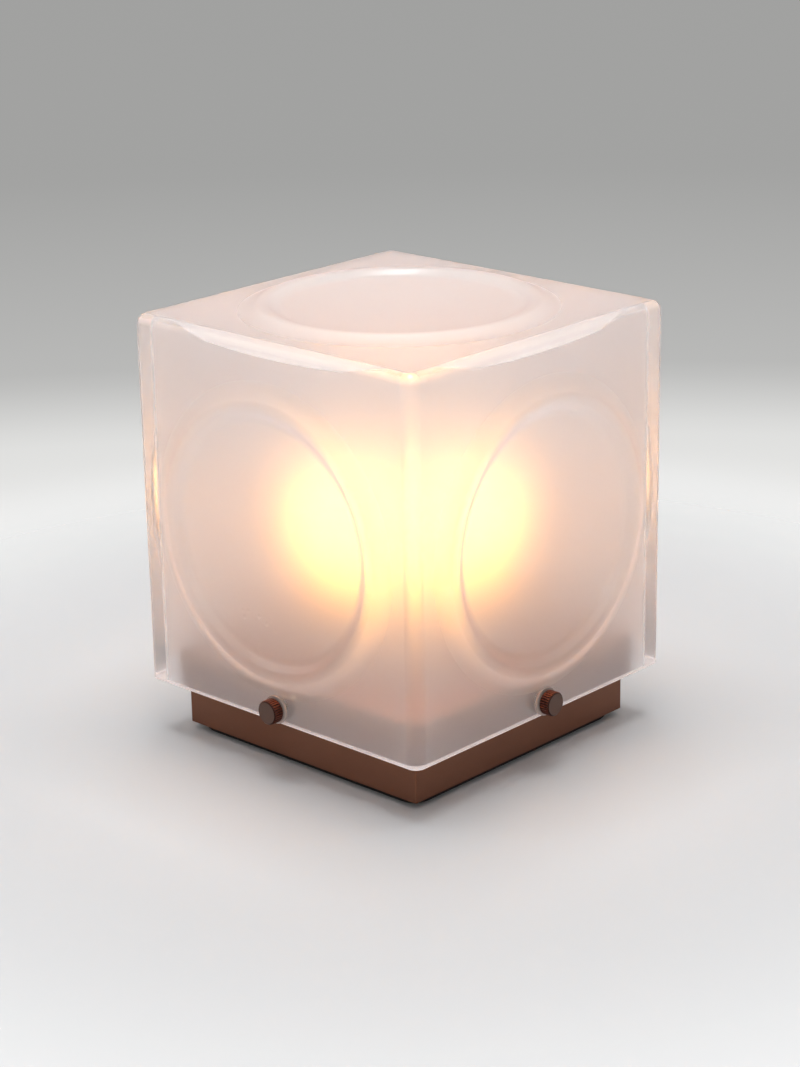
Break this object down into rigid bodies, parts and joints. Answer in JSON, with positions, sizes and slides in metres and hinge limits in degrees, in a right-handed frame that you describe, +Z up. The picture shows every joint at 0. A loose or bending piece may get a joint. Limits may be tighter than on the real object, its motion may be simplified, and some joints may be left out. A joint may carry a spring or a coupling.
{
  "type": "portable table lamp",
  "caption": "Frosted glass cube lamp with a raised ring around a shallow dish on each face, held by knurled thumb screws on a square metal base, lit from within.",
  "frame": {"origin": "centre of the foot pad's underside", "axes": "+Z up; the front thumb screw faces -Y, the right one +X; switch and charging port at the back, +Y"},
  "size_m": [0.1616, 0.1616, 0.1812],
  "materials": {
    "frosted_glass": "glossy outside, satin frosted inside",
    "bronze_metal": "satin copper brown",
    "steel_plate": "matt black",
    "steel_fixings": "satin",
    "brass_fixings": "plain",
    "bare_aluminium": "turned",
    "nickel_strip": "plain",
    "black_rubber": "matt",
    "white_silicone": "matt",
    "pale_nylon": "satin",
    "opal_diffuser": "opal, lit warm white",
    "led_phosphor": "phosphor",
    "circuit_board": "solder mask",
    "black_plastic": "moulded",
    "cell_sleeve": "shrink sleeve",
    "grey_foam": "closed-cell foam",
    "wire_insulation": "silicone"
  },
  "bodies": {
    "lamp": {"glass_shade": "frosted_glass", "base_housing": "bronze_metal", "bottom_plate": "steel_plate", "bottom_screws": "steel_fixings", "bottom_seal": "black_rubber", "foot_pad": "black_rubber", "light_post": "bare_aluminium", "post_screws": "steel_fixings", "led_board": "circuit_board", "led_chips": "led_phosphor", "globe_gasket": "white_silicone", "diffuser_globe": "opal_diffuser", "globe_collar": "bronze_metal", "battery_cells": "cell_sleeve", "battery_cradle": "black_plastic", "cell_tabs": "nickel_strip", "battery_foam": "grey_foam", "driver_board": "circuit_board", "board_standoffs": "brass_fixings", "board_screws": "steel_fixings", "board_components": "black_plastic", "charging_socket": "nickel_strip", "socket_tongue": "black_plastic", "port_cover_anchor": "black_rubber", "button_seal": "white_silicone", "button_switch": "black_plastic", "led_leads": "wire_insulation", "battery_leads": "wire_insulation", "glass_bush_front": "pale_nylon", "shade_pad_front": "black_rubber", "threaded_insert_front": "brass_fixings", "glass_bush_right": "pale_nylon", "shade_pad_right": "black_rubber", "threaded_insert_right": "brass_fixings", "glass_bush_back": "pale_nylon", "shade_pad_back": "black_rubber", "threaded_insert_back": "brass_fixings", "glass_bush_left": "pale_nylon", "shade_pad_left": "black_rubber", "threaded_insert_left": "brass_fixings"},
    "power_button": {"power_button": "bronze_metal"},
    "port_cover": {"port_cover": "black_rubber"},
    "washer_front": {"screw_washer_front": "pale_nylon"},
    "screw_front": {"thumb_screw_front": "bronze_metal"},
    "washer_right": {"screw_washer_right": "pale_nylon"},
    "screw_right": {"thumb_screw_right": "bronze_metal"},
    "washer_back": {"screw_washer_back": "pale_nylon"},
    "screw_back": {"thumb_screw_back": "bronze_metal"},
    "washer_left": {"screw_washer_left": "pale_nylon"},
    "screw_left": {"thumb_screw_left": "bronze_metal"}
  },
  "joints": [
    {"name": "front_screw_travel", "type": "slide", "parent": "lamp", "child": "washer_front", "axis": [0, -1, 0], "range_m": [0, 0.0075]},
    {"name": "front_screw_turn", "type": "hinge", "parent": "washer_front", "child": "screw_front", "pos_m": [0, -0.076, 0.029], "axis": [0, -1, 0], "range_deg": [0, 3857.2]},
    {"name": "right_screw_travel", "type": "slide", "parent": "lamp", "child": "washer_right", "axis": [1, 0, 0], "range_m": [0, 0.0075]},
    {"name": "right_screw_turn", "type": "hinge", "parent": "washer_right", "child": "screw_right", "pos_m": [0.076, 0, 0.029], "axis": [1, 0, 0], "range_deg": [0, 3857.2]},
    {"name": "back_screw_travel", "type": "slide", "parent": "lamp", "child": "washer_back", "axis": [0, 1, 0], "range_m": [0, 0.0075]},
    {"name": "back_screw_turn", "type": "hinge", "parent": "washer_back", "child": "screw_back", "pos_m": [0, 0.076, 0.029], "axis": [0, 1, 0], "range_deg": [0, 3857.2]},
    {"name": "left_screw_travel", "type": "slide", "parent": "lamp", "child": "washer_left", "axis": [-1, 0, 0], "range_m": [0, 0.0075]},
    {"name": "left_screw_turn", "type": "hinge", "parent": "washer_left", "child": "screw_left", "pos_m": [-0.076, 0, 0.029], "axis": [-1, 0, 0], "range_deg": [0, 3857.2]},
    {"name": "power_button_press", "type": "slide", "parent": "lamp", "child": "power_button", "axis": [0, -1, 0], "range_m": [0, 0.0006], "stiffness_N_per_m": 2500},
    {"name": "port_cover_bend", "type": "hinge", "parent": "lamp", "child": "port_cover", "pos_m": [0.022, 0.0635, 0.0082], "axis": [-1, 0, 0], "range_deg": [0, 120]}
  ],
  "couplings": [
    {"joint": "front_screw_turn", "follows": "front_screw_travel", "rad_per_m": 8976},
    {"joint": "right_screw_turn", "follows": "right_screw_travel", "rad_per_m": 8976},
    {"joint": "back_screw_turn", "follows": "back_screw_travel", "rad_per_m": 8976},
    {"joint": "left_screw_turn", "follows": "left_screw_travel", "rad_per_m": 8976}
  ]
}
